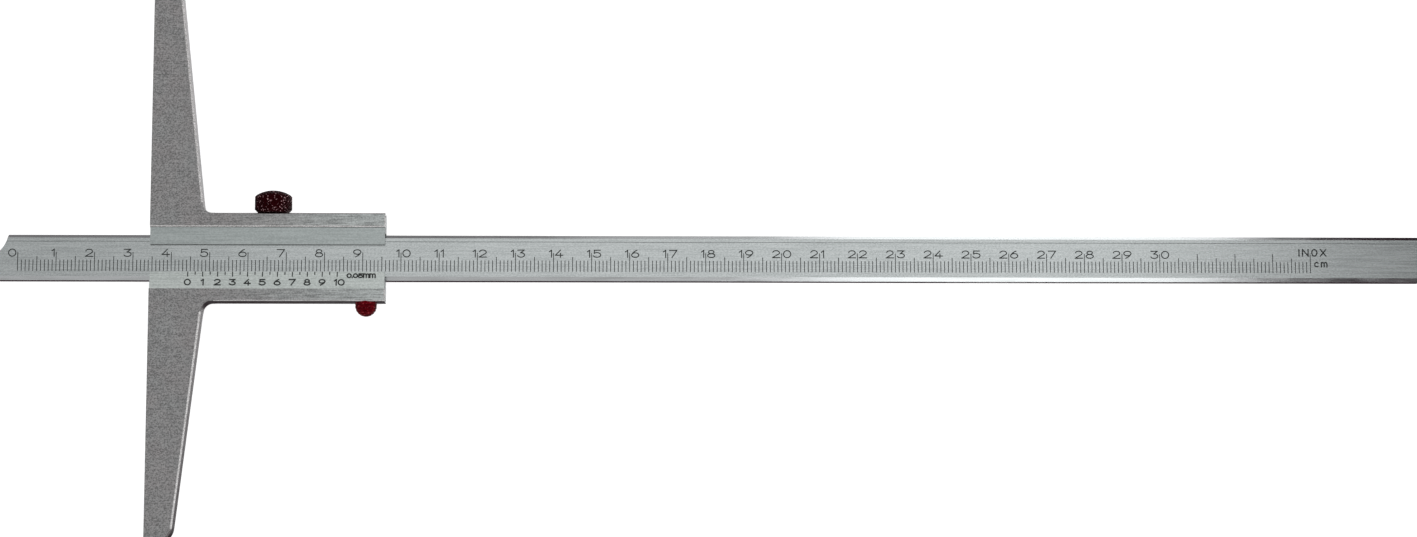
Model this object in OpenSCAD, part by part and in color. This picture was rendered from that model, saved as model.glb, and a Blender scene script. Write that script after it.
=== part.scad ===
// Vernier depth gauge, 300 mm, reading to 0.05 mm, lying on its back.
// +X runs along the beam, away from the work; +Y runs across it, towards the lock screw;
// +Z points out of the graduated face. X = 0 is the bridge's measuring face, Y = 0 is the
// beam's centreline and Z = 0 is the back of the bridge. All sizes are in millimetres.

/* [Bridge] */
// Length of the measuring face
bridge_l = 150; // [120:1:200]
// Thickness of the bridge and the slider, which are one piece
body_t = 6; // [5.8:0.1:8]
// Width of an arm where it leaves the slider
arm_root_w = 14; // [12:0.1:18]
// Width of an arm at its end
arm_tip_w = 6.8; // [6:0.1:10]
// Radius of the outer corner at the end of an arm
arm_corner_r = 4.8; // [2:0.1:5.5]
// Fillet between an arm and the slider
root_fillet_r = 2.5; // [1:0.1:5]
// Bevel on the edges of the arms
arm_bevel = 0.45; // [0.2:0.05:0.6]

/* [Slider] */
// Length of the slider along the beam
slider_l = 61.5; // [60:0.5:80]
// Width of the slider
slider_w = 23.3; // [22.5:0.1:30]
// Bevel on the edges of the slider
slider_bevel = 0.25; // [0.1:0.05:0.5]
// Bevel on the shoulder above the retaining strip
shoulder_bevel = 0.45; // [0.2:0.05:0.6]
// Wall left behind the beam
back_wall = 1.25; // [1:0.05:1.4]

/* [Beam] */
// Distance that the beam stands out of the measuring face as drawn, which is its reading
reading = 44.4; // [20:0.05:120]
// Whole length of the beam
beam_l = 379; // [360:1:400]
// Width of the beam
beam_w = 12; // [12:0.1:12.2]
// Thickness of the beam
beam_t = 3.5; // [3.4:0.05:3.5]
// Bevel on the beam's upper front edge
beam_bevel_upper = 0.85; // [0.4:0.05:1]
// Bevel on the beam's lower front edge
beam_bevel_lower = 1; // [0.4:0.05:1.2]
// Width of the raised guide land along each edge of the beam's front
guide_land_w = 1.7; // [1.3:0.1:2]
// Height of the guide lands above the graduated face
guide_land_h = 0.06; // [0.02:0.01:0.1]
// Radius of the hollow that narrows the beam's tip
tip_relief_r = 7.5; // [5:0.1:8]
// Height of the tip's flat end face
tip_nose_h = 5.5; // [5:0.05:7]

/* [Plates] */
// Width of the retaining strip above the window
strip_w = 4.5; // [4.2:0.05:4.8]
// Distance from the beam's centreline to the retaining strip
strip_inner_y = 3.35; // [3.2:0.05:4]
// How far the strip's front lies below the front of the body
strip_drop = 0.3; // [0.1:0.05:0.5]
// Width of the vernier plate below the window
vernier_w = 4.6; // [4.2:0.05:4.8]
// Distance from the beam's centreline to the vernier's reading edge
vernier_inner_y = 3.8; // [3.3:0.05:3.9]
// Thickness of the vernier plate at its reading edge
vernier_edge_t = 0.15; // [0.1:0.05:0.4]
// How far the vernier plate's outer edge lies below the front of the body
vernier_drop = 0.1; // [0.05:0.05:0.3]

/* [Lock screw] */
// Distance from the measuring face to the lock screw's axis
lock_x = 31.9; // [28:0.1:36]
// Diameter of the knurled head
knob_d = 9.8; // [8:0.1:12]
// Height of the knurled head with its crown
knob_h = 6; // [4:0.1:7]
// Height of the head's domed crown
knob_crown_h = 1.3; // [0.8:0.1:1.6]
// Bevel under the head
knob_bevel = 1; // [0.5:0.1:1.2]
// Thread diameter of the lock screw
lock_thread_d = 3; // [2.5:0.5:3]
// Room under the head, and the travel that clamps the beam is less than this
lock_gap = 0.3; // [0.25:0.05:0.5]

/* [Thumb stud] */
// Distance from the measuring face to the stud's axis
stud_x = 56.5; // [54:0.1:58]
// Diameter of the stud's round head
stud_d = 5.7; // [5:0.1:6.4]
// How far the stud stands out of the slider's lower edge
stud_h = 3.75; // [3.2:0.05:4.5]

/* [Small fasteners] */
// Thread diameter of the screws that hold the strip and the vernier plate
plate_screw_d = 1.4; // [1.2:0.1:1.4]
// Number of screws in the retaining strip
strip_screw_count = 4; // [4:1:6]
// Number of screws in the vernier plate
vernier_screw_count = 3; // [2:1:5]
// Distance from a plate's end to its first and last screw
plate_screw_inset = 8; // [6:0.5:10]
// Thread diameter of the gib's set screws
gib_screw_d = 2; // [1.6:0.1:2]
// Distance from the slider's end to each of the gib's set screws
gib_screw_inset = 13; // [11:0.5:15]
// Distance from the beam's far end to the stop screw on its back
stop_inset = 14; // [8:0.5:20]
// Diameter of the stop screw's head
stop_head_d = 4; // [3:0.1:5]

/* [Hidden] */
$fn = 64;

// Fits
slide_fit = 0.05;       // around the beam, front and back
edge_fit = 0.02;        // between the beam and the slider's reference edge
screw_fit = 0.02;       // round a screw in its thread
running_fit = 0.05;     // round the lock screw
plate_end_gap = 0.1;    // the plates stop short of the body's end faces
plate_side_gap = 0.02;  // between a plate and the shoulder beside it

// Heights, from the back of the bridge
beam_z0 = back_wall + slide_fit;
beam_z1 = beam_z0 + beam_t;
seat_z = beam_z1 + slide_fit;
mid_z = beam_z0 + beam_t / 2;

// The gib: a flat leaf in the gap above the beam, loaded by two dog-point set screws
gib_t = 0.4;
gib_gap_lower = 0.05;
gib_gap_upper = 0.1;
gib_end_gap = 2;
gib_y0 = beam_w / 2 + gib_gap_lower;
gib_y1 = gib_y0 + gib_t;
gib_screw_x = [gib_screw_inset, slider_l - gib_screw_inset];
gib_screw_sink = 0.35;
dog_d = 1.2;
dog_l = 0.3;

// The channel, the seats of the two plates and the slider's edges
channel_y0 = -beam_w / 2 - edge_fit;
channel_y1 = gib_y1 + gib_gap_upper;
slider_y = slider_w / 2;
strip_outer_y = strip_inner_y + strip_w;
vernier_outer_y = vernier_inner_y + vernier_w;

// Where the beam lies as drawn
beam_x0 = -reading;
beam_x1 = beam_x0 + beam_l;
stop_x = beam_x1 - stop_inset;
stop_head_h = 1.1;
stop_shank_d = 1.8;
stop_shank_l = 2.2;

// The straight edge behind an arm, its unit normal, and the arcs that touch it
arm_l = bridge_l / 2;
arm_run = arm_l - slider_y;
arm_drop = arm_root_w - arm_tip_w;
arm_slope_l = norm([arm_run, arm_drop]);
arm_normal = [arm_run, arm_drop] / arm_slope_l;
function arm_edge_x(y, inwards) =
    arm_root_w - (arm_drop * (y - slider_y) + inwards * arm_slope_l) / arm_run;
corner_y = arm_l - arm_corner_r;
corner = [arm_edge_x(corner_y, arm_corner_r), corner_y];
fillet_y = slider_y + root_fillet_r;
fillet = [arm_edge_x(fillet_y, -root_fillet_r), fillet_y];
arm_angle = atan2(arm_drop, arm_run);
corner_touch = corner + arm_corner_r * arm_normal;
fillet_touch = fillet - root_fillet_r * arm_normal;
bevel_stop = 0.6;       // room between a bevel's end and the fillet
round_lap = 0.002;      // a round is this much over its radius, so it crosses the edges it joins

// Screws in the plates, driven from the back
plate_head_d = 2.6;
plate_head_h = 0.6;
strip_screw_y = (channel_y1 + strip_outer_y) / 2;
vernier_screw_y = -(vernier_outer_y - channel_y0) / 2;
strip_t = body_t - strip_drop - seat_z;
vernier_t = body_t - vernier_drop - seat_z;
strip_screw_l = seat_z + 0.6 * strip_t;
vernier_screw_l = seat_z + 0.5 * vernier_t;

// The lock screw and the brass shoe in front of it
shoe_l = 1.5;
shoe_gap = 0.25;
shoe_y0 = gib_y1 + shoe_gap;
shoe_y1 = shoe_y0 + shoe_l;
shoe_play = 0.03;
knob_side_h = knob_h - knob_crown_h;

// The thumb stud: a ringed dome on a spigot pressed into the slider
stud_r = stud_d / 2;
stud_neck_h = stud_h - stud_r;
stud_spigot_d = 2.5;
stud_spigot_l = 4;
ring_count = 4;
ring_depth = 0.18;

steel = "#8f9391";
satin_chrome = "#b4b9b4";
black_steel = "#221c1c";
brass = "#b08d4a";
slack = 1;              // how far a cutting shape runs past the surface it cuts

function spread(count, from, to) =
    [for (i = [0 : count - 1]) from + (to - from) * i / (count - 1)];
function strip_screw_x() =
    spread(strip_screw_count, plate_screw_inset, slider_l - plate_screw_inset);
function vernier_screw_x() =
    spread(vernier_screw_count, plate_screw_inset, slider_l - plate_screw_inset);

// A square bar that cuts a 45 degree bevel along an upper edge. The edge runs along +X from
// the origin, with the material on its left and below.
module bevel_bar(l, bevel) {
    side = 3 * bevel;
    rotate([45, 0, 0]) translate([0, -side / 2, -bevel / sqrt(2)]) cube([l, side, side]);
}

// The same bevel along the line from p to q, with each end moved outwards by over
module bevel_line(p, q, bevel, over) {
    run = q - p;
    translate(p) rotate([0, 0, atan2(run[1], run[0])])
        translate([-over[0], 0, 0]) bevel_bar(norm(run) + over[0] + over[1], bevel);
}

// The same bevel round a convex arc
module bevel_arc(centre, r, from, to, bevel) {
    side = 3 * bevel;
    translate(centre) rotate([0, 0, from])
        rotate_extrude(angle = to - from) translate([r, 0]) rotate(45)
            translate([-bevel / sqrt(2), -side / 2]) square(side);
}

// A cylinder along Y that starts at y and runs towards +Y
module rod_y(x, y, z, d, l) {
    translate([x, y, z]) rotate([-90, 0, 0]) cylinder(d = d, h = l);
}

// Outline of one arm, with its rounded corner and the fillet to the slider
module arm_outline() {
    reach = 2 * arm_corner_r;
    difference() {
        polygon([
            [0, 0], [arm_root_w, 0], [arm_root_w, slider_y],
            [arm_root_w - arm_drop, arm_l], [0, arm_l]
        ]);
        difference() {
            polygon([
                corner, corner + reach * arm_normal, [corner[0] + reach, arm_l + reach],
                [corner[0], arm_l + reach]
            ]);
            translate(corner) circle(r = arm_corner_r + round_lap);
        }
    }
    difference() {
        polygon([
            [arm_root_w - arm_drop / 2, slider_y - slack], [fillet[0], slider_y - slack],
            fillet, fillet_touch, [arm_root_w - arm_drop / 2, fillet_touch[1]]
        ]);
        translate(fillet) circle(r = root_fillet_r + round_lap);
    }
}

module body_outline() {
    arm_outline();
    mirror([0, 1]) arm_outline();
    translate([0, -slider_y]) square([slider_l, slider_w]);
}

// Bevels along the edges of one arm and of the slider beside it. They stop short of the
// fillet. At the corner the straight ones run on past the arc, whose own bevel is a little
// smaller, so that the surfaces cross cleanly.
module arm_bevels() {
    corner_bevel = arm_bevel - 0.03;
    bevel_line([corner[0], arm_l], [-slack, arm_l], arm_bevel, [slack, 0]);
    bevel_arc(corner, arm_corner_r + round_lap, arm_angle, 90, corner_bevel);
    bevel_line(fillet_touch, corner_touch, arm_bevel, [-bevel_stop, slack]);
    bevel_line([slider_l, slider_y], [fillet[0], slider_y], slider_bevel, [slack, -bevel_stop]);
}

module body_bevels() {
    arm_bevels();
    mirror([0, 1, 0]) arm_bevels();
    translate([slider_l, -slider_y - slack, 0])
        rotate([0, 0, 90]) bevel_bar(slider_w + 2 * slack, slider_bevel);
}

// Countersunk hole for a plate's screw, open at the back
module plate_screw_hole(x, y) {
    translate([x, y, -slack]) cylinder(d = plate_screw_d + 2 * screw_fit, h = seat_z + 2 * slack);
    translate([x, y, 0])
        cylinder(d1 = plate_head_d + 2 * screw_fit, d2 = plate_screw_d + 2 * screw_fit,
                 h = plate_head_h);
}

module bridge_body() {
    color(steel) difference() {
        linear_extrude(body_t) body_outline();
        translate([-slack, channel_y0, back_wall])
            cube([slider_l + 2 * slack, channel_y1 - channel_y0, body_t]);
        translate([-slack, 0, seat_z]) cube([slider_l + 2 * slack, strip_outer_y, body_t]);
        translate([-slack, -vernier_outer_y, seat_z])
            cube([slider_l + 2 * slack, vernier_outer_y, body_t]);
        translate([-slack, strip_outer_y, body_t]) bevel_bar(slider_l + 2 * slack, shoulder_bevel);
        mirror([0, 0, 1]) body_bevels();
        translate([0, 0, body_t]) body_bevels();
        for (x = strip_screw_x()) plate_screw_hole(x, strip_screw_y);
        for (x = vernier_screw_x()) plate_screw_hole(x, vernier_screw_y);
        for (x = gib_screw_x) rod_y(x, 0, mid_z, gib_screw_d, slider_y + slack);
        rod_y(lock_x, 0, mid_z, lock_thread_d, slider_y + slack);
        rod_y(stud_x, -slider_y - slack, mid_z, stud_spigot_d, stud_spigot_l + slack);
    }
}

module retaining_strip() {
    color(satin_chrome) difference() {
        translate([plate_end_gap, strip_inner_y, seat_z])
            cube([slider_l - 2 * plate_end_gap, strip_w - plate_side_gap, strip_t]);
        for (x = strip_screw_x())
            translate([x, strip_screw_y, 0])
                cylinder(d = plate_screw_d + 2 * screw_fit, h = strip_screw_l + screw_fit);
    }
}

// Tapers from the body's front down to a thin reading edge beside the beam's graduations
module vernier_plate() {
    color(satin_chrome) difference() {
        translate([plate_end_gap, 0, seat_z]) rotate([90, 0, 90])
            linear_extrude(slider_l - 2 * plate_end_gap) polygon([
                [-vernier_inner_y, 0], [-vernier_inner_y, vernier_edge_t],
                [-vernier_outer_y + plate_side_gap, vernier_t],
                [-vernier_outer_y + plate_side_gap, 0]
            ]);
        for (x = vernier_screw_x())
            translate([x, vernier_screw_y, 0])
                cylinder(d = plate_screw_d + 2 * screw_fit, h = vernier_screw_l + screw_fit);
    }
}

// Slotted countersunk screw, head at the back
module plate_screw(l) {
    slot_w = 0.35;
    slot_d = 0.3;
    difference() {
        union() {
            cylinder(d1 = plate_head_d, d2 = plate_screw_d, h = plate_head_h);
            cylinder(d = plate_screw_d, h = l);
        }
        translate([-plate_head_d, -slot_w / 2, -slack])
            cube([2 * plate_head_d, slot_w, slot_d + slack]);
    }
}

module strip_screws() {
    color(steel) for (x = strip_screw_x()) translate([x, strip_screw_y, 0]) plate_screw(strip_screw_l);
}

module vernier_screws() {
    color(steel)
        for (x = vernier_screw_x()) translate([x, vernier_screw_y, 0]) plate_screw(vernier_screw_l);
}

// Leaf that takes up the play above the beam, held lengthways by the set screws' dog points
module gib_leaf() {
    color(brass) difference() {
        translate([gib_end_gap, gib_y0, beam_z0 + slide_fit])
            cube([slider_l - 2 * gib_end_gap, gib_t, beam_t - 2 * slide_fit]);
        for (x = gib_screw_x) rod_y(x, 0, mid_z, dog_d + 2 * running_fit, slider_y);
    }
}

// Slotted dog-point set screws, sunk just below the slider's upper edge
module gib_screws() {
    slot_w = 0.3;
    slot_d = 0.6;
    tip_y = gib_y1 + screw_fit;
    end_y = slider_y - gib_screw_sink;
    color(steel) for (x = gib_screw_x) difference() {
        union() {
            rod_y(x, tip_y, mid_z, gib_screw_d - 2 * screw_fit, end_y - tip_y);
            rod_y(x, tip_y - dog_l, mid_z, dog_d, dog_l + slack);
        }
        translate([x - gib_screw_d, end_y - slot_d, mid_z - slot_w / 2])
            cube([2 * gib_screw_d, slot_d + slack, slot_w]);
    }
}

// Half-section of the stud: x is the radius, y the distance out of the slider's edge.
// Fine rings are turned into the dome, one every equal step of angle.
module stud_section() {
    ring_step = 90 / (ring_count + 1);
    difference() {
        union() {
            square([stud_r, stud_neck_h]);
            intersection() {
                translate([0, stud_neck_h]) circle(r = stud_r);
                square([stud_r, stud_h]);
            }
            translate([0, -stud_spigot_l]) square([stud_spigot_d / 2 - screw_fit, stud_spigot_l + slack]);
        }
        for (i = [0 : ring_count - 1])
            translate([0, stud_neck_h]) rotate(i * ring_step) translate([stud_r, 0]) rotate(45)
                square(ring_depth * sqrt(2), center = true);
    }
}

module thumb_stud() {
    color(black_steel) translate([stud_x, -slider_y, mid_z]) rotate([90, 0, 0])
        rotate_extrude() stud_section();
}

// Brass slug between the lock screw's tip and the gib
module pressure_shoe() {
    color(brass) rod_y(lock_x, shoe_y0, mid_z, lock_thread_d - 2 * running_fit, shoe_l);
}

// Half-section of the lock screw: x is the radius, y the distance out of the slider's edge
module lock_screw_section() {
    knob_r = knob_d / 2;
    crown_bevel = 0.35;
    crown_r = (pow(knob_r - crown_bevel, 2) + pow(knob_crown_h, 2)) / (2 * knob_crown_h);
    tip_y = shoe_y1 + shoe_play - slider_y;
    translate([0, tip_y]) square([lock_thread_d / 2 - running_fit, lock_gap - tip_y + slack]);
    translate([0, lock_gap]) polygon([
        [0, 0], [knob_r - knob_bevel, 0], [knob_r, knob_bevel], [knob_r, knob_side_h - crown_bevel],
        [knob_r - crown_bevel, knob_side_h], [0, knob_side_h]
    ]);
    intersection() {
        translate([0, lock_gap + knob_h - crown_r]) circle(r = crown_r, $fn = 128);
        translate([0, lock_gap + knob_side_h]) square([knob_r - crown_bevel, knob_crown_h]);
    }
}

module lock_screw() {
    color(black_steel) translate([lock_x, slider_y, mid_z]) rotate([-90, 0, 0])
        rotate_extrude() lock_screw_section();
}

module beam() {
    face_z = beam_z1 - guide_land_h;
    relief_y = tip_nose_h - beam_w / 2 + tip_relief_r;
    end_bevel = 0.3;
    color(satin_chrome) difference() {
        translate([beam_x0, -beam_w / 2, beam_z0]) cube([beam_l, beam_w, beam_t]);
        translate([beam_x0 - slack, -beam_w / 2 + guide_land_w, face_z])
            cube([beam_l + 2 * slack, beam_w - 2 * guide_land_w, beam_t]);
        translate([0, 0, beam_z1]) {
            bevel_line([beam_x1, beam_w / 2], [beam_x0, beam_w / 2], beam_bevel_upper,
                       [slack, slack]);
            bevel_line([beam_x0, -beam_w / 2], [beam_x1, -beam_w / 2], beam_bevel_lower,
                       [slack, slack]);
            bevel_line([beam_x1, -beam_w / 2], [beam_x1, beam_w / 2], end_bevel, [slack, slack]);
        }
        translate([0, 0, beam_z0]) mirror([0, 0, 1])
            bevel_line([beam_x1, -beam_w / 2], [beam_x1, beam_w / 2], end_bevel, [slack, slack]);
        translate([beam_x0, relief_y, beam_z0 - slack])
            cylinder(r = tip_relief_r, h = beam_t + 2 * slack, $fn = 96);
        translate([stop_x, 0, beam_z0 - slack])
            cylinder(d = stop_shank_d + 2 * screw_fit, h = stop_shank_l + screw_fit + slack);
    }
}

// Stops the beam from running out of the slider: its head meets the slider's end
module end_stop_screw() {
    slot_w = 0.6;
    slot_d = 0.5;
    color(steel) translate([stop_x, 0, beam_z0 - stop_head_h]) difference() {
        union() {
            cylinder(d = stop_head_d, h = stop_head_h);
            cylinder(d = stop_shank_d, h = stop_head_h + stop_shank_l);
        }
        translate([-stop_head_d, -slot_w / 2, -slack])
            cube([2 * stop_head_d, slot_w, slot_d + slack]);
    }
}

bridge_body();
retaining_strip();
strip_screws();
vernier_plate();
vernier_screws();
gib_leaf();
gib_screws();
thumb_stud();
pressure_shoe();
lock_screw();
beam();
end_stop_screw();
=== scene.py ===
# Visual model of a 300 mm vernier depth gauge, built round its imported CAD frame.
# Sizes are in millimetres and become metres when a mesh is made. The frame, the stage, the
# lights and the camera are in metres.
import math

import bmesh
import bpy
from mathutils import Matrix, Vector
from mathutils.geometry import delaunay_2d_cdt


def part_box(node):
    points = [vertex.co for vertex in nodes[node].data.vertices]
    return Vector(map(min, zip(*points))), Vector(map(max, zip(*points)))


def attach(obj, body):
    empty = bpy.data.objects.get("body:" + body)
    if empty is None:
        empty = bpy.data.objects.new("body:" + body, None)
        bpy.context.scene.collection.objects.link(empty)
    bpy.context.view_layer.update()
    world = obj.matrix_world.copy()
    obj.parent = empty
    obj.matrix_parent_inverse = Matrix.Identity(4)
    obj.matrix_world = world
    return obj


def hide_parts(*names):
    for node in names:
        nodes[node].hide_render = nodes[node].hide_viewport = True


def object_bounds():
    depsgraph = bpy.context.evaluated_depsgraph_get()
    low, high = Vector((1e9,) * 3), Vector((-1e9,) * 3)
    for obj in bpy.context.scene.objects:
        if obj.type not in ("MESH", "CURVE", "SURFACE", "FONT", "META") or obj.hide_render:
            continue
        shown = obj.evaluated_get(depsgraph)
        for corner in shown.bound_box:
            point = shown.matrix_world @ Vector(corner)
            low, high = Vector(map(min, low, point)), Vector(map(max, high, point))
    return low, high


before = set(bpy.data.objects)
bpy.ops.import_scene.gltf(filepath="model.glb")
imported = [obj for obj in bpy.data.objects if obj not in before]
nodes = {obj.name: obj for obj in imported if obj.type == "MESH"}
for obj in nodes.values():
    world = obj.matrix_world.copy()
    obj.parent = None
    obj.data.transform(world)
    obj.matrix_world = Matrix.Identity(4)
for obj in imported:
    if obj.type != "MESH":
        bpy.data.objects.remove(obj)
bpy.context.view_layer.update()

MM = 0.001
TURN = 2 * math.pi

# The beam's own scale
ZERO_INSET = 10.0           # from the beam's tip, and the vernier's from the measuring face
RULED = 340                 # the last millimetre line on the beam
LAST_NUMBER = 30            # in centimetres
BEAM_LINE_FOOT = -3.68      # Y of the lines' lower ends
BEAM_LINE_LENGTHS = (3.0, 3.92, 5.04)
BEAM_LINE_W = 0.20
GUIDE_LAND_H = 0.06         # the guide lands stand this far above the graduated face
DIGIT_FOOT = 0.20           # Y of the numbers' lower ends
DIGIT_SIZE = (1.90, 1.88)
DIGIT_STROKE = 0.27
DIGIT_GAP = 0.50            # between a digit and its line
LAND_SHADE_LINE_Y = (4.16, 4.25)  # a thin dark enamel line beside the upper guide land: painted shade along the land's edge
LAND_SHADE_LINE_INSETS = (7.1, 0.4)   # its ends: it starts clear of the hollow at the beam's tip

# The words after the scale: text, X from the last line, Y of the foot, letter size, gap
WORDS = (("INOX", -2.95, 0.92, (1.75, 1.72), 0.95),
         ("cm", 1.15, -1.98, (1.15, 1.16), 0.85))
WORD_STROKE = 0.34

# The vernier: 39 mm in 20 parts
VERNIER_PARTS = 20
VERNIER_STEP = 1.95
VERNIER_NUMBERED = 2        # parts from one number to the next
VERNIER_EDGE_T = 0.15       # the plate's thickness at its upper edge, beside the beam
VERNIER_LINE_INSET = 0.02   # the lines start just inside that edge
VERNIER_LINE_LENGTHS = (0.85, 1.36)
VERNIER_LINE_W = 0.28
VERNIER_DIGIT_FOOT = -7.42
VERNIER_DIGIT_SIZE = (1.52, 1.46)
VERNIER_DIGIT_GAP = 0.5
VERNIER_STROKE = 0.36
TEN_SHIFT = 0.6             # the 10 stands to the right of its line's middle
UNIT_LEFT, UNIT_FOOT = 51.6, -5.36
UNIT_SIZE = (1.05, 0.98)
UNIT_GAP = 0.28
UNIT_STROKE = 0.37

ENGRAVING_DEPTH = 0.04
WELD = 0.0001               # CAD corners nearer than this are one
SAME_FACE = 0.01            # a CAD corner this near to a face's height belongs to it
SAME_WAY = 0.9999           # the least cosine between normals of one flat face
FRONT_COS = 0.95            # the least Z of a normal that counts as looking to the front
MITRE_COS = 0.6             # a stroke's mitre gets no longer where it bends more than this

# The lock screw: its head stands over the slider's edge, with a gap
KNOB_GAP, KNOB_H, CROWN_H = 0.3, 6.0, 1.3
KNOB_BEVEL, CROWN_BEVEL = 1.0, 0.35
CROWN_BEVEL_STEPS, CROWN_STEPS = 3, 14
THREAD_R, THREAD_PITCH, THREAD_DEPTH = 1.45, 0.5, 0.2
KNURL_LINES = 34
KNURL_LEAD = 0.92           # height of one diamond
KNURL_DEPTH = 0.24
KNURL_STEPS = 8             # mesh steps to each knurl line
KNURL_START = 0.15          # above the head's lower face
KNURL_END = 0.25            # above the top of its side
KNURL_FADE = 0.4

# Edges sharper than these angles are drawn sharp
SHARP = math.radians(28)
KNOB_SHARP = math.radians(50)

# The dim studio round the lights: the sine of the height above the horizon, and the shade
STUDIO = ((-1.0, "#2e1220"), (-0.85, "#2e1220"), (-0.6, "#8c8889"), (-0.28, "#8c8889"),
          (-0.19, "#2e1220"), (0.16, "#35202a"), (0.22, "#c4c2c2"), (0.70, "#a8a6a7"),
          (1.0, "#707070"))
TABLE_REACH, DOME_R = 4.0, 4.5

# Noise keeps to this part of 0 ... 1
USUAL = {"From Min": 0.3, "From Max": 0.7}


# ---------------------------------------------------------------- nodes and materials

def linear(colour):
    """An sRGB hex colour as linear RGBA."""
    parts = [int(colour[i:i + 2], 16) / 255 for i in (1, 3, 5)]
    return (*(c / 12.92 if c <= 0.04045 else ((c + 0.055) / 1.055) ** 2.4 for c in parts), 1)


def add(tree, kind, inputs=None, **settings):
    """Adds a node. A socket in inputs, by name or number, gets a value, a hex colour, another
    node's output, or a node, which stands for its first output."""
    made = tree.nodes.new(kind)
    for name, value in settings.items():
        setattr(made, name, value)
    for socket, value in (inputs or {}).items():
        if isinstance(value, bpy.types.Node):
            value = value.outputs[0]
        if isinstance(value, bpy.types.NodeSocket):
            tree.links.new(value, made.inputs[socket])
        else:
            made.inputs[socket].default_value = (
                linear(value) if isinstance(value, str) else value)
    return made


def new_finish(name):
    """An empty material and its tree."""
    finish = bpy.data.materials.new(name)
    finish.use_nodes = True
    finish.node_tree.nodes.clear()
    return finish, finish.node_tree


def close_finish(tree, inputs):
    """Ends a material in its surface shader."""
    shader = add(tree, "ShaderNodeBsdfPrincipled", inputs)
    add(tree, "ShaderNodeOutputMaterial", {"Surface": shader})


def grains(tree, size, detail):
    """A random pattern whose grains measure size (x, y, z) in millimetres."""
    place = add(tree, "ShaderNodeTexCoord").outputs["Object"]
    scaled = add(tree, "ShaderNodeMapping",
                 {"Vector": place, "Scale": tuple(1 / (s * MM) for s in size)})
    return add(tree, "ShaderNodeTexNoise", {"Vector": scaled, "Scale": 1.0, "Detail": detail})


def facing_front(tree):
    """1 on a face that looks straight to the front or the back and 0 on a side."""
    normal = add(tree, "ShaderNodeNewGeometry").outputs["True Normal"]
    height = add(tree, "ShaderNodeSeparateXYZ", {0: normal}).outputs["Z"]
    return add(tree, "ShaderNodeMath", {0: height}, operation="ABSOLUTE")


def ground_stainless():
    """Stainless steel, surface-ground along X and lightly blasted, with the edges broken by
    hand. That gives an even mid grey with fine, short scratches and no clear reflection.
    Towards the slider's end a less coarse wheel left longer scratches, and there the grey is
    painted paler and cooler as a painted sheen for the brighter light on that end. The broken
    edges are smoother, and painted brighter as a painted highlight along them. The real grain
    of about 0.1 mm would be too fine to show, so it is drawn 0.35 to 0.4 mm wide."""
    finish, tree = new_finish("ground_stainless")
    patches = grains(tree, (7, 7, 7), 2.0)
    specks = grains(tree, (0.40, 0.34, 0.42), 3.0)
    scratches = grains(tree, (5.0, 0.35, 0.35), 3.0)
    place = add(tree, "ShaderNodeTexCoord").outputs["Object"]
    along = add(tree, "ShaderNodeSeparateXYZ", {0: place}).outputs["X"]

    patchy = add(tree, "ShaderNodeMapRange", {"Value": patches, **USUAL})
    blasted = add(tree, "ShaderNodeMix", {0: patchy, 6: "#959393", 7: "#939494"},
                  data_type="RGBA").outputs[2]
    # Paler and cooler from X 22 to 55 mm: a painted sheen for the brighter light towards the
    # slider's end
    painted_sheen_toward_end = add(tree, "ShaderNodeMapRange",
                {"Value": along, "From Min": 22 * MM, "From Max": 55 * MM})
    flat = add(tree, "ShaderNodeMix", {0: painted_sheen_toward_end, 6: blasted, 7: "#afb4b3"},
               data_type="RGBA").outputs[2]
    # Broken edges take the brighter #c6c6c5 as a painted highlight along them; their lower
    # roughness is real polish
    broken = add(tree, "ShaderNodeMath", {0: facing_front(tree), 1: 0.7, 2: 0.25},
                 operation="COMPARE")
    base = add(tree, "ShaderNodeMix", {0: broken, 6: flat, 7: "#c6c6c5"},
               data_type="RGBA").outputs[2]

    brushed = add(tree, "ShaderNodeMapRange",
                  {"Value": along, "From Min": 0.0, "From Max": 50 * MM,
                   "To Min": 0.2, "To Max": 0.6})
    grain = add(tree, "ShaderNodeMix", {0: brushed, 2: specks, 3: scratches})
    strong = add(tree, "ShaderNodeMapRange",
                 {"Value": grain, "From Min": 0.38, "From Max": 0.62})
    shade = add(tree, "ShaderNodeMix", {0: strong, 6: "#505050", 7: "#ffffff"},
                data_type="RGBA").outputs[2]
    grained = add(tree, "ShaderNodeMix", {0: 0.5, 6: base, 7: shade},
                  data_type="RGBA", blend_type="OVERLAY").outputs[2]
    dull = add(tree, "ShaderNodeMapRange",
               {"Value": grain, **USUAL, "To Min": 0.42, "To Max": 0.56})
    close_finish(tree, {
        "Base Color": grained, "Metallic": 1.0,
        "Roughness": add(tree, "ShaderNodeMix", {0: broken, 2: dull, 3: 0.26}),
        "Normal": add(tree, "ShaderNodeBump", {"Height": grain, "Distance": 0.010 * MM})})
    return finish


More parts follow.
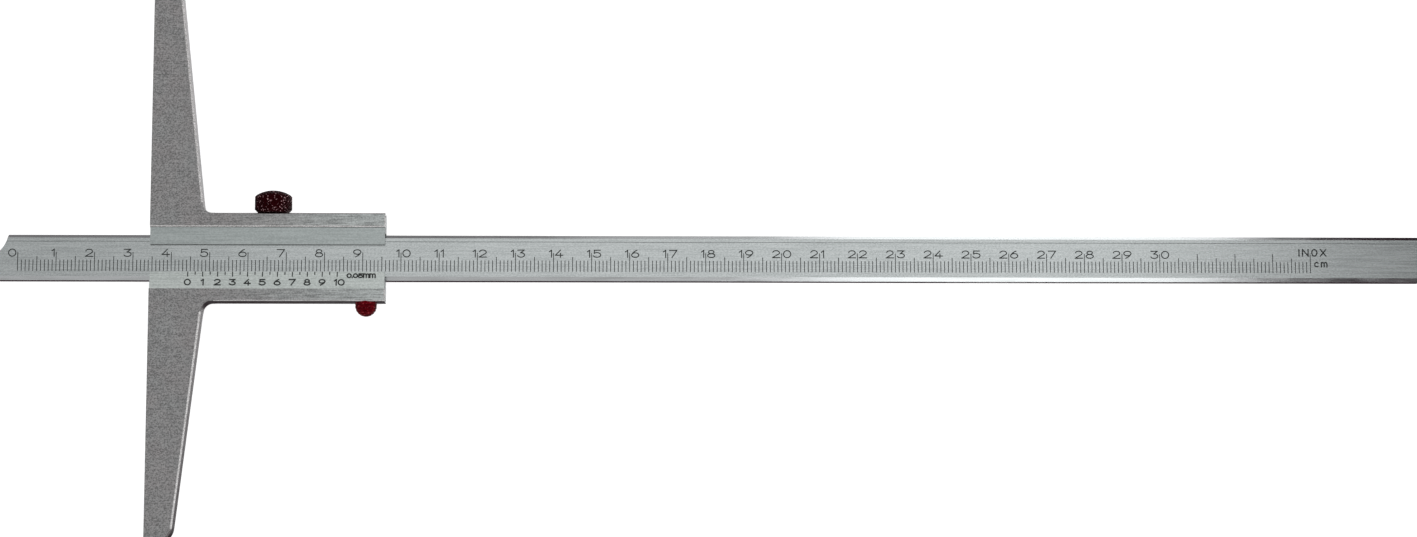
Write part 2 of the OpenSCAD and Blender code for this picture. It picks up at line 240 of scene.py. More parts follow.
def satin_chrome(name, light, dark, roughness):
    """Satin chrome plate over brushed steel: a pale, slightly green grey with long, faint
    brush lines along X and a broad soft sheen. The sides are painted dark as painted shade,
    for the shadow in the gaps beside them. The real lines, of about 0.05 mm, are drawn 0.3 mm
    wide so that they show."""
    finish, tree = new_finish(name)
    lines = grains(tree, (14.0, 0.30, 0.30), 4.0)
    fine = grains(tree, (0.5, 0.32, 0.4), 2.0)
    grain = add(tree, "ShaderNodeMix", {0: 0.5, 2: lines, 3: fine})
    strong = add(tree, "ShaderNodeMapRange",
                 {"Value": grain, "From Min": 0.40, "From Max": 0.60})
    plated = add(tree, "ShaderNodeMix", {0: strong, 6: dark, 7: light},
                 data_type="RGBA").outputs[2]
    # Faces that don't look to the front take #3c3f3f: painted shade for the shadowed gaps
    # beside the strip and the plate
    front = add(tree, "ShaderNodeMath", {0: facing_front(tree), 1: 0.5},
                operation="GREATER_THAN")
    close_finish(tree, {
        "Base Color": add(tree, "ShaderNodeMix", {0: front, 6: "#3c3f3f", 7: plated},
                          data_type="RGBA").outputs[2],
        "Metallic": 1.0,
        "Roughness": add(tree, "ShaderNodeMapRange",
                         {"Value": lines, **USUAL, "To Min": roughness - 0.03,
                          "To Max": roughness + 0.03}),
        "Normal": add(tree, "ShaderNodeBump", {"Height": grain, "Distance": 0.004 * MM})})
    return finish


def blackened_steel(name, dark, worn, glint):
    """Blackened (hot-oxide) steel: near black with a brown-red cast, and an oiled gloss that
    takes the same cast. Small pale specks in the glint colour are painted glints, standing in
    for highlights on its ridges; glints of about 0.1 mm are drawn 0.45 mm wide so that they
    show."""
    finish, tree = new_finish(name)
    cloud = grains(tree, (1.2, 1.2, 1.2), 3.0)
    speck = grains(tree, (0.45, 0.45, 0.45), 1.0)
    cloudy = add(tree, "ShaderNodeMapRange", {"Value": cloud, **USUAL})
    oxide = add(tree, "ShaderNodeMix", {0: cloudy, 6: dark, 7: worn},
                data_type="RGBA").outputs[2]
    # Pale specks in the glint colour: painted glints, standing in for highlights
    painted_glints = add(tree, "ShaderNodeMapRange",
               {"Value": speck, "From Min": 0.66, "From Max": 0.71, "To Max": 0.8})
    close_finish(tree, {
        "Base Color": add(tree, "ShaderNodeMix", {0: painted_glints, 6: oxide, 7: glint},
                          data_type="RGBA").outputs[2],
        "Roughness": add(tree, "ShaderNodeMapRange",
                         {"Value": cloud, **USUAL, "To Min": 0.22, "To Max": 0.38}),
        "Specular IOR Level": 0.25, "Specular Tint": "#c01828",
        "Normal": add(tree, "ShaderNodeBump", {"Height": speck, "Distance": 0.010 * MM})})
    return finish


def plain_metal(name, size, detail, colours, roughness, depth):
    """A bare metal with one pattern in its colour, its roughness and its bump."""
    finish, tree = new_finish(name)
    pattern = grains(tree, size, detail)
    stretched = add(tree, "ShaderNodeMapRange", {"Value": pattern, **USUAL})
    close_finish(tree, {
        "Base Color": add(tree, "ShaderNodeMix", {0: stretched, 6: colours[0], 7: colours[1]},
                          data_type="RGBA").outputs[2],
        "Metallic": 1.0,
        "Roughness": add(tree, "ShaderNodeMapRange",
                         {"Value": pattern, **USUAL, "To Min": roughness[0],
                          "To Max": roughness[1]}),
        "Normal": add(tree, "ShaderNodeBump", {"Height": pattern, "Distance": depth * MM})})
    return finish


def engraving_paint():
    """Black enamel wiped into the engraving: matt, and thin in places, so that it is never
    quite even."""
    finish, tree = new_finish("engraving_enamel")
    thin = grains(tree, (0.6, 0.6, 0.6), 3.0)
    uneven = add(tree, "ShaderNodeMapRange", {"Value": thin, **USUAL})
    close_finish(tree, {
        "Base Color": add(tree, "ShaderNodeMix", {0: uneven, 6: "#060908", 7: "#1c2120"},
                          data_type="RGBA").outputs[2],
        "Roughness": add(tree, "ShaderNodeMapRange",
                         {"Value": thin, **USUAL, "To Min": 0.5, "To Max": 0.7})})
    return finish


GROUND = ground_stainless()
BEAM_CHROME = satin_chrome("satin_chrome_beam", "#bec3c3", "#a4a9a9", 0.26)
STRIP_CHROME = satin_chrome("satin_chrome_strip", "#b0b7b6", "#989f9e", 0.32)
# The plate's chrome is paler than the beam's: real chrome plate, and partly a painted sheen
# for the light its sloping face catches
PLATE_CHROME_PAINTED_SHEEN = satin_chrome("satin_chrome_plate_painted_sheen", "#d2d9d6", "#b4bbb8", 0.34)
BLACKENED = blackened_steel("blackened_steel", "#0c0102", "#1a0205", "#b89296")
# The stud takes a paler copy of the blackened steel: painted sheen for its brighter gloss,
# with paler painted glints
BLACKENED_STUD_PAINTED_SHEEN = blackened_steel("blackened_stud_painted_sheen", "#2c0206", "#5a060e", "#a04046")
ENAMEL = engraving_paint()
# Turned stainless screws: bright, with a fine turned grain, drawn 0.25 mm wide to show
SCREWS = plain_metal("turned_screw_steel", (0.25, 0.25, 0.25), 3.0, ("#8d9090", "#b9bcbb"),
                     (0.25, 0.38), 0.003)
# Half-hard rolled brass: warm yellow, satin, slightly tarnished in patches
BRASS = plain_metal("rolled_brass", (2.5, 0.8, 0.8), 3.0, ("#9a7434", "#c8a35a"),
                    (0.28, 0.42), 0.002)
# Chrome on the beam's ground and lapped edges: smooth enough to mirror what is round it,
# with a slight waviness from the wheel
LAPPED = plain_metal("lapped_chrome_edges", (9.0, 1.2, 1.2), 3.0, ("#a4a8a8", "#babebf"),
                     (0.14, 0.20), 0.006)


# ---------------------------------------------------------------- geometry node trees

def shape_tree(name, sizes):
    """A geometry tree with named inputs. sizes maps each input to its default."""
    tree = bpy.data.node_groups.new(name, "GeometryNodeTree")
    tree.interface.new_socket("Geometry", in_out="INPUT", socket_type="NodeSocketGeometry")
    for label, value in sizes.items():
        kind = "NodeSocketInt" if isinstance(value, int) else "NodeSocketFloat"
        socket = tree.interface.new_socket(label, in_out="INPUT", socket_type=kind)
        socket.default_value = value
    tree.interface.new_socket("Geometry", in_out="OUTPUT", socket_type="NodeSocketGeometry")
    return tree, add(tree, "NodeGroupInput").outputs


def close_tree(tree, geometry, material):
    """Ends a tree in Realize Instances and Set Material."""
    real = add(tree, "GeometryNodeRealizeInstances", {"Geometry": geometry})
    painted = add(tree, "GeometryNodeSetMaterial", {"Geometry": real, "Material": material})
    add(tree, "NodeGroupOutput", {"Geometry": painted})


def run_tree(piece, tree, values):
    """Runs a tree on a piece, keeps the result as its plain mesh and removes the modifier."""
    step = piece.modifiers.new(tree.name, "NODES")
    step.node_group = tree
    for socket in tree.interface.items_tree:
        if socket.in_out == "INPUT" and socket.name in values:
            step[socket.identifier] = values[socket.name]
    piece.update_tag()
    graph = bpy.context.evaluated_depsgraph_get()
    plain = bpy.data.meshes.new_from_object(piece.evaluated_get(graph))
    piece.modifiers.clear()
    piece.data = plain


def graduation_tree():
    """Scale lines: a row of rectangles that share a foot line. Every long-th line is long,
    every middle-th is middling and the rest are short. Sizes are in millimetres."""
    tree, size = shape_tree("graduation_lines", {
        "Lines": 10, "Pitch": 1.0, "Line width": 0.1, "Short": 1.0, "Middle": 1.5, "Long": 2.0,
        "Middle every": 5, "Long every": 10, "Direction": 1.0})
    step = add(tree, "ShaderNodeCombineXYZ", {0: size["Pitch"]})
    row = add(tree, "GeometryNodeMeshLine", {"Count": size["Lines"], "Offset": step})
    index = add(tree, "GeometryNodeInputIndex")
    length = size["Short"]
    for every, longer in (("Middle every", "Middle"), ("Long every", "Long")):
        rest = add(tree, "ShaderNodeMath", {0: index, 1: size[every]}, operation="MODULO")
        chosen = add(tree, "ShaderNodeMath", {0: rest, 1: 0.0, 2: 0.25}, operation="COMPARE")
        length = add(tree, "ShaderNodeMix", {0: chosen, 2: length, 3: size[longer]})
    half = add(tree, "ShaderNodeMath", {0: length, 1: 0.5}, operation="MULTIPLY")
    shift = add(tree, "ShaderNodeMath", {0: half, 1: size["Direction"]}, operation="MULTIPLY")
    rectangle = add(tree, "GeometryNodeMeshGrid",
                    {"Size X": 1.0, "Size Y": 1.0, "Vertices X": 2, "Vertices Y": 2})
    stretch = add(tree, "ShaderNodeCombineXYZ", {0: size["Line width"], 1: length, 2: 1.0})
    lines = add(tree, "GeometryNodeInstanceOnPoints",
                {"Points": row, "Instance": rectangle, "Scale": stretch})
    lines = add(tree, "GeometryNodeTranslateInstances", {
        "Instances": lines, "Local Space": False,
        "Translation": add(tree, "ShaderNodeCombineXYZ", {1: shift})})
    close_tree(tree, lines, ENAMEL)
    return tree


def knurl_tree():
    """Diamond knurl: two families of grooves run round the Y axis in opposite helices, and a
    point sinks by how near it is to the nearest groove. Sizes are in metres."""
    tree, size = shape_tree("diamond_knurl", {
        "Lines": 30, "Lead": 0.001, "Depth": 0.0002, "Axis X": 0.0, "Axis Z": 0.0,
        "Foot": 0.0, "Top": 0.005, "Fade": 0.0004})
    place = add(tree, "GeometryNodeInputPosition")
    x, y, z = add(tree, "ShaderNodeSeparateXYZ", {0: place}).outputs
    x = add(tree, "ShaderNodeMath", {0: x, 1: size["Axis X"]}, operation="SUBTRACT")
    z = add(tree, "ShaderNodeMath", {0: z, 1: size["Axis Z"]}, operation="SUBTRACT")
    rise = add(tree, "ShaderNodeMath", {0: y, 1: size["Foot"]}, operation="SUBTRACT")
    head = add(tree, "ShaderNodeMath", {0: size["Top"], 1: y}, operation="SUBTRACT")
    angle = add(tree, "ShaderNodeMath", {0: z, 1: x}, operation="ARCTAN2")
    turns = add(tree, "ShaderNodeMath", {0: angle, 1: TURN}, operation="DIVIDE")
    around = add(tree, "ShaderNodeMath", {0: turns, 1: size["Lines"]}, operation="MULTIPLY")
    along = add(tree, "ShaderNodeMath", {0: rise, 1: size["Lead"]}, operation="DIVIDE")
    grooves = []
    for how in ("ADD", "SUBTRACT"):
        helix = add(tree, "ShaderNodeMath", {0: around, 1: along}, operation=how)
        wave = add(tree, "ShaderNodeMath", {0: helix, 1: 0.5}, operation="PINGPONG")
        grooves.append(add(tree, "ShaderNodeMath", {0: wave, 1: 2.0}, operation="MULTIPLY"))
    nearest = add(tree, "ShaderNodeMath", dict(enumerate(grooves)), operation="MAXIMUM")
    shaped = add(tree, "ShaderNodeMapRange",
                 {"Value": nearest, "From Min": 0.25, "From Max": 1.0})
    sink, fade = [add(tree, "ShaderNodeMapRange",
                      {"Value": edge, "From Min": 0.0, "From Max": size["Fade"]})
                  for edge in (rise, head)]
    for factor in (fade, shaped, size["Depth"], -1.0):
        sink = add(tree, "ShaderNodeMath", {0: sink, 1: factor}, operation="MULTIPLY")
    outwards = add(tree, "ShaderNodeVectorMath",
                   {0: add(tree, "ShaderNodeCombineXYZ", {0: x, 2: z})}, operation="NORMALIZE")
    move = add(tree, "ShaderNodeVectorMath", {0: outwards, "Scale": sink}, operation="SCALE")
    sunk = add(tree, "GeometryNodeSetPosition",
               {"Geometry": size["Geometry"], "Offset": move})
    close_tree(tree, sunk, BLACKENED)
    return tree


# ---------------------------------------------------------------- mesh helpers

def piece_from(mesh, name, materials, sharp=SHARP):
    """A linked object from a bmesh, smooth except across edges sharper than the angle."""
    mesh.normal_update()
    for face in mesh.faces:
        face.smooth = True
    for edge in mesh.edges:
        edge.smooth = len(edge.link_faces) == 2 and edge.calc_face_angle(0) < sharp
    data = bpy.data.meshes.new(name)
    mesh.to_mesh(data)
    mesh.free()
    for material in materials:
        data.materials.append(material)
    piece = bpy.data.objects.new(name, data)
    bpy.context.scene.collection.objects.link(piece)
    return piece


def arc(cx, cy, rx, ry, start, end, steps):
    """Points on an ellipse, angles in degrees."""
    angles = [math.radians(start + (end - start) * i / steps) for i in range(steps + 1)]
    return [(cx + rx * math.cos(a), cy + ry * math.sin(a)) for a in angles]


def flipped(strokes):
    """A character's strokes turned upside down."""
    return [[(1 - x, 1 - y) for x, y in stroke] for stroke in strokes]


# An engraver's single-line characters in a box of 1 by 1: the width used, then the strokes
SIX = [arc(0.5, 0.32, 0.5, 0.32, 0, 360, 20),
       [(0.74, 1.0), (0.52, 0.90), (0.30, 0.74), (0.12, 0.56), (0.02, 0.40), (0.0, 0.32)]]
CHARACTERS = {
    "0": (1.0, [arc(0.5, 0.5, 0.5, 0.5, 0, 360, 24)]),
    "1": (0.32, [[(0.0, 0.78), (0.30, 1.0)], [(0.30, 1.0), (0.30, 0.0)]]),
    "2": (1.0, [arc(0.5, 0.70, 0.46, 0.30, 165, -35, 11) + [(0.0, 0.0)],
                [(0.0, 0.0), (1.0, 0.0)]]),
    "3": (1.0, [[(0.06, 1.0), (0.94, 1.0)], [(0.94, 1.0), (0.46, 0.62)],
                arc(0.5, 0.31, 0.5, 0.31, 98, -160, 15)]),
    "4": (1.0, [[(0.68, 1.0), (0.0, 0.28)], [(0.0, 0.28), (1.0, 0.28)],
                [(0.68, 0.56), (0.68, 0.0)]]),
    "5": (1.0, [[(0.12, 1.0), (0.92, 1.0)], [(0.12, 1.0), (0.12, 0.56)],
                arc(0.47, 0.33, 0.53, 0.33, 135, -155, 15)]),
    "6": (1.0, SIX),
    "7": (1.0, [[(0.0, 1.0), (1.0, 1.0)], [(1.0, 1.0), (0.34, 0.0)]]),
    "8": (1.0, [arc(0.5, 0.77, 0.38, 0.23, 0, 360, 18),
                arc(0.5, 0.27, 0.5, 0.27, 0, 360, 20)]),
    "9": (1.0, flipped(SIX)),
    ".": (0.05, [[(0.0, 0.0), (0.05, 0.08)]]),
    "I": (0.0, [[(0.0, 0.0), (0.0, 1.0)]]),
    "N": (0.85, [[(0.0, 0.0), (0.0, 1.0)], [(0.0, 1.0), (0.85, 0.0)],
                 [(0.85, 0.0), (0.85, 1.0)]]),
    "O": (0.8, [arc(0.4, 0.5, 0.4, 0.5, 0, 360, 24)]),
    "X": (0.8, [[(0.0, 0.0), (0.8, 1.0)], [(0.0, 1.0), (0.8, 0.0)]]),
    "c": (0.8, [arc(0.45, 0.5, 0.45, 0.5, 50, 310, 14)]),
    "m": (1.3, [[(0.0, 0.0), (0.0, 1.0)],
                arc(0.325, 0.62, 0.325, 0.38, 180, 0, 8) + [(0.65, 0.0)],
                arc(0.975, 0.62, 0.325, 0.38, 180, 0, 8) + [(1.3, 0.0)]]),
}


def stroke_quads(points, width):
    """A stroke as a strip of quads of even width, mitred where it bends."""
    points = [Vector(p) for p in points]
    closed = (points[0] - points[-1]).length < 1e-6
    if closed:
        points = points[:-1]
    count = len(points)
    sides = []
    for i, point in enumerate(points):
        before = points[i - 1] if closed or i else None
        after = points[(i + 1) % count] if closed or i < count - 1 else None
        leaving = (after - point).normalized() if after is not None else None
        coming = (point - before).normalized() if before is not None else leaving
        leaving = coming if leaving is None else leaving
        middle = (coming + leaving).normalized()
        across = Vector((-middle.y, middle.x)) * width / 2
        across /= max(MITRE_COS, middle.dot(leaving))
        if before is None:
            point = point - middle * width / 2
        if after is None:
            point = point + middle * width / 2
        sides.append((point + across, point - across))
    last = count if closed else count - 1
    return [(*sides[i], sides[(i + 1) % count][1], sides[(i + 1) % count][0])
            for i in range(last)]


def text_width(text, width, gap):
    """How long a piece of lettering is."""
    return sum(CHARACTERS[c][0] * width + gap for c in text) - gap


def letter(text, left, foot, size, stroke, gap):
    """The strips of a piece of lettering whose left end and foot are given."""
    strips = []
    for character in text:
        wide, strokes = CHARACTERS[character]
        for points in strokes:
            strips += stroke_quads([(left + x * size[0], foot + y * size[1])
                                    for x, y in points], stroke)
        left += wide * size[0] + gap
    return strips


def scale_lines(tree, left, foot, values):
    """The rectangles of a row of graduation lines, made by the tree."""
    blank = bpy.data.objects.new("graduation", bpy.data.meshes.new("graduation"))
    bpy.context.scene.collection.objects.link(blank)
    run_tree(blank, tree, values)
    points = [(left + v.co.x, foot + v.co.y) for v in blank.data.vertices]
    strips = [tuple(Vector(points[i]) for i in face.vertices) for face in blank.data.polygons]
    bpy.data.objects.remove(blank)
    return strips


def engraved(node, name, normal, height, strips, finish, edges):
    """A copy of a CAD node with shapes cut into one of its flat faces, and enamel in them.

    height(x, y) gives the face in millimetres. The face is triangulated again with the cut
    shapes in it; a triangle inside a shape is sunk, and walls close the step round it. Faces
    that look to the front take the finish, and all others take edges."""
    mesh = bmesh.new()
    mesh.from_mesh(nodes[node].data)
    bmesh.ops.remove_doubles(mesh, verts=mesh.verts, dist=WELD * MM)
    mesh.normal_update()
    for face in mesh.faces:
        face.material_index = 0 if face.normal.z > FRONT_COS else 2
    old = [face for face in mesh.faces if face.normal.dot(normal) > SAME_WAY and all(
        abs(v.co.z / MM - height(v.co.x / MM, v.co.y / MM)) < SAME_FACE
        for v in face.verts)]
    bmesh.ops.delete(mesh, geom=old, context="FACES_ONLY")
    inner = [e for e in mesh.edges if not e.link_faces]
    bmesh.ops.delete(mesh, geom=inner, context="EDGES")

    # The open rim round the face, corner after corner, anticlockwise
    loop, edge = [], next(e for e in mesh.edges if len(e.link_faces) == 1)
    corner = edge.verts[0]
    while not loop or corner is not loop[0]:
        loop.append(corner)
        corner = edge.other_vert(corner)
        edge = next(e for e in corner.link_edges if e is not edge and len(e.link_faces) == 1)
    points = [Vector((v.co.x / MM, v.co.y / MM)) for v in loop]
    if sum(a.cross(b) for a, b in zip(points, points[1:] + points[:1])) < 0:
        loop.reverse()
        points.reverse()
    faces = [list(range(len(loop)))]
    for strip in strips:
        faces.append(list(range(len(points), len(points) + len(strip))))
        points += [Vector(p[:]) for p in strip]
    flat, _, triangles, from_points, _, from_faces = delaunay_2d_cdt(
        points, [], faces, 1, 1e-5, True)

    def corner_at(index, depth, made):
        """The mesh corner for a flat point: the CAD's own on the rim, else a new one."""
        if index not in made:
            known = [i for i in from_points[index] if i < len(loop)]
            if known and not depth:
                made[index] = loop[known[0]]
            else:
                x, y = flat[index]
                sunk = Vector((x, y, height(x, y))) - normal * depth
                made[index] = mesh.verts.new(sunk * MM)
        return made[index]

    upper, lower, sides = {}, {}, {}
    for triangle, source in zip(triangles, from_faces):
        if 0 not in source:
            continue                # it fills a hollow outside the rim
        a, b, c = (flat[i] for i in triangle)
        if (b - a).cross(c - a) < 0:
            triangle = triangle[::-1]
        cut = any(i > 0 for i in source)
        made, depth = (lower, ENGRAVING_DEPTH) if cut else (upper, 0)
        face = mesh.faces.new([corner_at(i, depth, made) for i in triangle])
        face.material_index = int(cut)
        for i, start in enumerate(triangle):
            sides[(start, triangle[(i + 1) % len(triangle)])] = cut
    for (start, end), cut in sides.items():
        if not cut and sides.get((end, start)):
            wall = mesh.faces.new((upper[end], upper[start], lower[start], lower[end]))
            wall.material_index = 1
    return piece_from(mesh, name, (finish, ENAMEL, edges))


def turned(profile, segments, centre):
    """A closed solid turned about the Y axis, with its profile as (radius, height) from pole
    to pole."""
    mesh = bmesh.new()
    rings = []
    for radius, height in profile:
        turns = segments if radius > 1e-6 else 1
        rings.append([mesh.verts.new(Vector((
            centre[0] + radius * math.cos(TURN * i / turns), centre[1] + height,
            centre[2] + radius * math.sin(TURN * i / turns))) * MM) for i in range(turns)])
    for low, high in zip(rings, rings[1:]):
        for i in range(segments):
            j = (i + 1) % segments
            quad = [low[i % len(low)], high[i % len(high)], high[j % len(high)],
                    low[j % len(low)]]
            mesh.faces.new(list(dict.fromkeys(quad)))
    return mesh


# ---------------------------------------------------------------- the engraved beam

GRADUATIONS = graduation_tree()
beam_low, beam_high = (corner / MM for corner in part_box("beam"))
face_z = beam_high.z - GUIDE_LAND_H
scale_zero = beam_low.x + ZERO_INSET
beam_cuts = scale_lines(GRADUATIONS, scale_zero, BEAM_LINE_FOOT, {
    "Lines": RULED + 1, "Pitch": 1.0, "Line width": BEAM_LINE_W,
    "Short": BEAM_LINE_LENGTHS[0], "Middle": BEAM_LINE_LENGTHS[1],
    "Long": BEAM_LINE_LENGTHS[2], "Middle every": 5, "Long every": 10, "Direction": 1.0})
for number in range(LAST_NUMBER + 1):
    line_x, digits = scale_zero + 10 * number, str(number)
    left = line_x - DIGIT_GAP - text_width(digits[0], DIGIT_SIZE[0], 0)
    # The first digit stands left of its line, and the second right of it
    for digit, start in zip(digits, (left, line_x + DIGIT_GAP)):
        beam_cuts += letter(digit, start, DIGIT_FOOT, DIGIT_SIZE, DIGIT_STROKE, 0)
last_line = scale_zero + RULED
for text, right, foot, size, gap in WORDS:
    beam_cuts += letter(text, last_line + right, foot, size, WORD_STROKE, gap)
# A dark enamel line along the upper guide land's edge, as painted shade
left, right = beam_low.x + LAND_SHADE_LINE_INSETS[0], beam_high.x - LAND_SHADE_LINE_INSETS[1]
foot, top = LAND_SHADE_LINE_Y
beam_cuts.append([Vector(p) for p in ((left, foot), (right, foot), (right, top), (left, top))])
beam = engraved("beam", "engraved_beam", Vector((0, 0, 1)), lambda x, y: face_z,
                beam_cuts, BEAM_CHROME, LAPPED)
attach(beam, "beam")
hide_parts("beam")

# ---------------------------------------------------------------- the engraved vernier plate

plate_low, plate_high = (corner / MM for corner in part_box("vernier_plate"))
edge_z = plate_low.z + VERNIER_EDGE_T
fall = (plate_high.z - edge_z) / (plate_high.y - plate_low.y)


def vernier_z(x, y):
    """The plate's sloping front."""
    return edge_z + (plate_high.y - y) * fall


vernier_cuts = scale_lines(GRADUATIONS, ZERO_INSET, plate_high.y - VERNIER_LINE_INSET, {
    "Lines": VERNIER_PARTS + 1, "Pitch": VERNIER_STEP, "Line width": VERNIER_LINE_W,
    "Short": VERNIER_LINE_LENGTHS[0], "Middle": VERNIER_LINE_LENGTHS[1],
    "Long": VERNIER_LINE_LENGTHS[1], "Middle every": VERNIER_NUMBERED,
    "Long every": VERNIER_NUMBERED, "Direction": -1.0})
for number in range(VERNIER_PARTS // VERNIER_NUMBERED + 1):
    digits = str(number)
    middle = ZERO_INSET + VERNIER_NUMBERED * VERNIER_STEP * number
    if number == 10:
        middle += TEN_SHIFT
    left = middle - text_width(digits, VERNIER_DIGIT_SIZE[0], VERNIER_DIGIT_GAP) / 2
    vernier_cuts += letter(digits, left, VERNIER_DIGIT_FOOT, VERNIER_DIGIT_SIZE,
                           VERNIER_STROKE, VERNIER_DIGIT_GAP)
vernier_cuts += letter("0.05mm", UNIT_LEFT, UNIT_FOOT, UNIT_SIZE, UNIT_STROKE, UNIT_GAP)
plate = engraved("vernier_plate", "engraved_vernier_plate",
                 Vector((0, fall, 1)).normalized(), vernier_z, vernier_cuts, PLATE_CHROME_PAINTED_SHEEN,
                 PLATE_CHROME_PAINTED_SHEEN)
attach(plate, "bridge")
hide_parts("vernier_plate")

# ---------------------------------------------------------------- the knurled lock screw

# The profile goes from the tip's pole up the thread, out under the head, up its side and
# over the crown. Heights are above the slider's edge.
screw_low, screw_high = (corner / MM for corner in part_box("lock_screw"))
knob_r = (screw_high.x - screw_low.x) / 2
axis_x, axis_z = (screw_low.x + screw_high.x) / 2, (screw_low.z + screw_high.z) / 2
slider_y = screw_high.y - KNOB_H - KNOB_GAP
tip = screw_low.y - slider_y
side_low = KNOB_GAP + KNOB_BEVEL
side_top = KNOB_GAP + KNOB_H - CROWN_H
side_high = side_top - CROWN_BEVEL
crown_r = ((knob_r - CROWN_BEVEL) ** 2 + CROWN_H ** 2) / (2 * CROWN_H)
crown_span = math.asin((knob_r - CROWN_BEVEL) / crown_r)
row = KNURL_LEAD / KNURL_STEPS
profile = [(0, tip), (THREAD_R - THREAD_DEPTH, tip)]
turn_y = tip + THREAD_PITCH / 2
while turn_y < KNOB_GAP - THREAD_PITCH:
    profile += [(THREAD_R, turn_y), (THREAD_R - THREAD_DEPTH, turn_y + THREAD_PITCH / 2)]
    turn_y += THREAD_PITCH
profile += [(THREAD_R - THREAD_DEPTH, KNOB_GAP)]
under = int(KNOB_BEVEL / row)
profile += [(knob_r - KNOB_BEVEL * (1 - i / under), KNOB_GAP + KNOB_BEVEL * i / under)
            for i in range(under + 1)]
side_rows = round((side_high - side_low) / row)
profile += [(knob_r, side_low + (side_high - side_low) * i / side_rows)
            for i in range(1, side_rows + 1)]
for i in range(1, CROWN_BEVEL_STEPS):
    cut = CROWN_BEVEL * i / CROWN_BEVEL_STEPS
    profile.append((knob_r - cut, side_high + cut))
for i in range(CROWN_STEPS + 1):
    lean = crown_span * (1 - i / CROWN_STEPS)
    profile.append((crown_r * math.sin(lean),
                    KNOB_GAP + KNOB_H - crown_r * (1 - math.cos(lean))))
knob = piece_from(turned(profile, KNURL_LINES * KNURL_STEPS, (axis_x, slider_y, axis_z)),
                  "knurled_lock_screw", (BLACKENED,), sharp=KNOB_SHARP)
run_tree(knob, knurl_tree(), {
    "Lines": KNURL_LINES, "Lead": KNURL_LEAD * MM, "Depth": KNURL_DEPTH * MM,
    "Axis X": axis_x * MM, "Axis Z": axis_z * MM,
    "Foot": (slider_y + KNOB_GAP + KNURL_START) * MM,
    "Top": (slider_y + side_top + KNURL_END) * MM, "Fade": KNURL_FADE * MM})
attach(knob, "lock")
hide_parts("lock_screw")

# ---------------------------------------------------------------- finishes of the CAD nodes

FINISHES = {
    "bridge_body": GROUND, "retaining_strip": STRIP_CHROME, "strip_screws": SCREWS,
    "vernier_screws": SCREWS, "gib_leaf": BRASS, "gib_screws": SCREWS,
    "thumb_stud": BLACKENED_STUD_PAINTED_SHEEN, "pressure_shoe": BRASS, "end_stop_screw": SCREWS,
}
for node, finish in FINISHES.items():
    for place in nodes[node].material_slots:
        place.material = finish

# ---------------------------------------------------------------- floor, light and camera

def white_paper(name, glow, matt):
    """A matt surface that also glows white, as a light table does."""
    paper, tree = new_finish(name)
    close_finish(tree, {"Base Color": matt, "Roughness": 0.9, "Specular IOR Level": 0.0,
                        "Emission Color": "#ffffff", "Emission Strength": glow})
    return paper


def stage_piece(name, mesh, material):
    """A floor or backdrop, which the metal doesn't mirror."""
    data = bpy.data.meshes.new(name)
    mesh.to_mesh(data)
    mesh.free()
    data.materials.append(material)
    made = bpy.data.objects.new(name, data)
    made.visible_glossy = False
    bpy.context.scene.collection.objects.link(made)


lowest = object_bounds()[0].z
table = bmesh.new()
bmesh.ops.create_grid(table, x_segments=1, y_segments=1, size=TABLE_REACH)
bmesh.ops.translate(table, verts=table.verts, vec=(0, 0, lowest))
stage_piece("floor", table, white_paper("white_table", 0.85, "#a0a0a0"))
dome = bmesh.new()
bmesh.ops.create_uvsphere(dome, u_segments=48, v_segments=24, radius=DOME_R)
bmesh.ops.reverse_faces(dome, faces=dome.faces)
stage_piece("backdrop", dome, white_paper("white_backdrop", 1.0, "#000000"))

world = bpy.data.worlds.new("studio")
bpy.context.scene.world = world
world.use_nodes = True
sky = world.node_tree
way = add(sky, "ShaderNodeTexCoord").outputs["Generated"]
up = add(sky, "ShaderNodeSeparateXYZ", {0: way}).outputs["Z"]
halved = add(sky, "ShaderNodeMath", {0: up, 1: 0.5, 2: 0.5}, operation="MULTIPLY_ADD")
shade = add(sky, "ShaderNodeValToRGB", {0: halved})
ramp = shade.color_ramp
for height, _ in STUDIO[1:-1]:
    ramp.elements.new((height + 1) / 2)
for stop, (_, colour) in zip(ramp.elements, STUDIO):
    stop.color = linear(colour)
sky.links.new(shade.outputs[0], sky.nodes["Background"].inputs["Color"])
sky.nodes["Background"].inputs["Strength"].default_value = 1.0


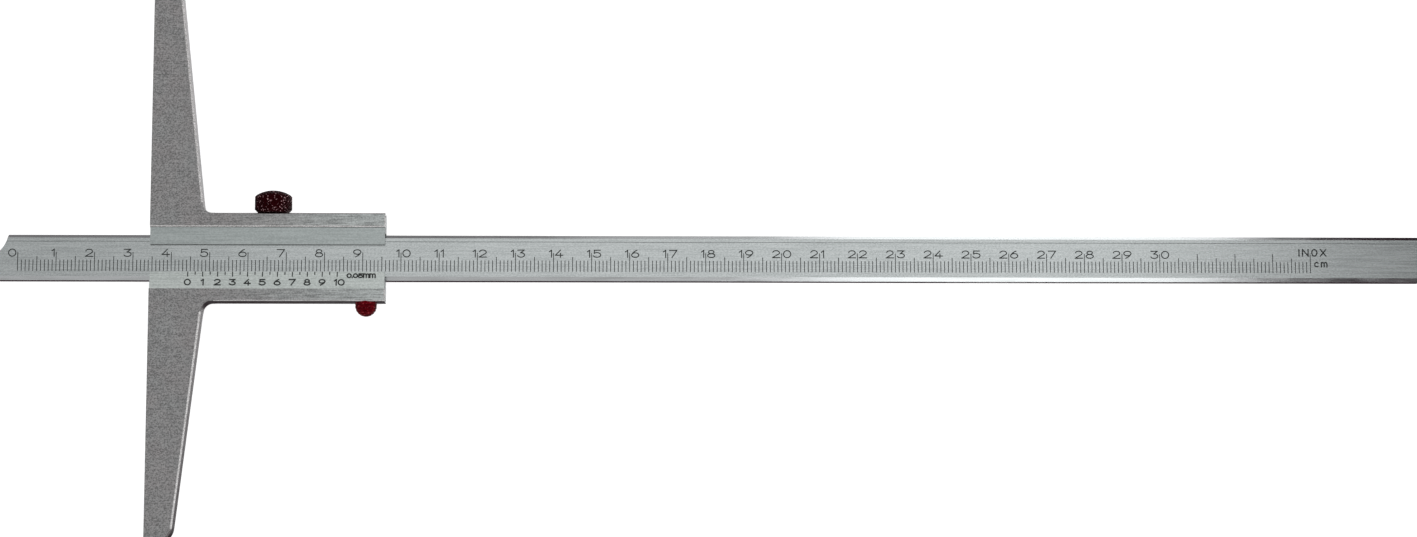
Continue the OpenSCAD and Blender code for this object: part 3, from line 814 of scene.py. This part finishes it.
def softbox(name, place, aim, width, height, radiance):
    """A rectangular area light in metres, turned towards a point."""
    data = bpy.data.lights.new(name, "AREA")
    data.shape = "RECTANGLE"
    data.size, data.size_y = width, height
    data.energy = radiance * math.pi * width * height
    lamp = bpy.data.objects.new(name, data)
    lamp.location = place
    lamp.rotation_euler = (Vector(aim) - Vector(place)).to_track_quat("-Z", "Y").to_euler()
    lamp.visible_camera = False
    bpy.context.scene.collection.objects.link(lamp)


# The ceiling lights the faces, brighter to the right. The front, back, low and right boxes
# are there for the chamfers and the side walls. Place, aim, width, height and radiance.
for box in (("ceiling_left", (-0.40, 0.17, 1.0), (-0.40, 0.17, 0), 0.66, 1.15, 0.48),
            ("ceiling", (0.215, 0.17, 1.0), (0.215, 0.17, 0), 0.57, 1.15, 0.92),
            ("ceiling_bright", (0.42, 0.15, 0.98), (0.42, 0.15, 0), 0.18, 0.60, 0.4),
            ("front", (0.325, -0.8, 0.12), (0.25, 0, 0), 0.21, 0.20, 2.4),
            ("front_left", (-0.07, -0.8, 0.12), (-0.05, 0, 0), 0.58, 0.20, 0.75),
            ("back", (0.33, 0.8, -0.13), (0.30, 0, 0), 0.22, 0.14, 2.6),
            ("back_middle", (0.16, 0.8, -0.13), (0.10, 0, 0), 0.12, 0.14, 0.95),
            ("back_left", (-0.2, 0.8, -0.13), (-0.10, 0, 0), 0.60, 0.14, 0.4),
            ("low_right", (0.35, 0.20, -0.45), (0, 0, 0), 0.4, 0.5, 1.8),
            ("right", (1.1, 0.15, 0.22), (0, 0, 0), 0.9, 0.36, 1.05)):
    softbox(*box)

eye = bpy.data.cameras.new("camera")
eye.lens, eye.sensor_width = 86.41, 36.0
eye.clip_start, eye.clip_end = 0.05, 20.0
camera = bpy.data.objects.new("camera", eye)
camera.location = (0.118840, -0.133240, 0.889299)
camera.rotation_euler = (0.14651, -0.03067, -0.00264)
bpy.context.scene.collection.objects.link(camera)
bpy.context.scene.camera = camera
bpy.context.scene.view_settings.view_transform = "Standard"
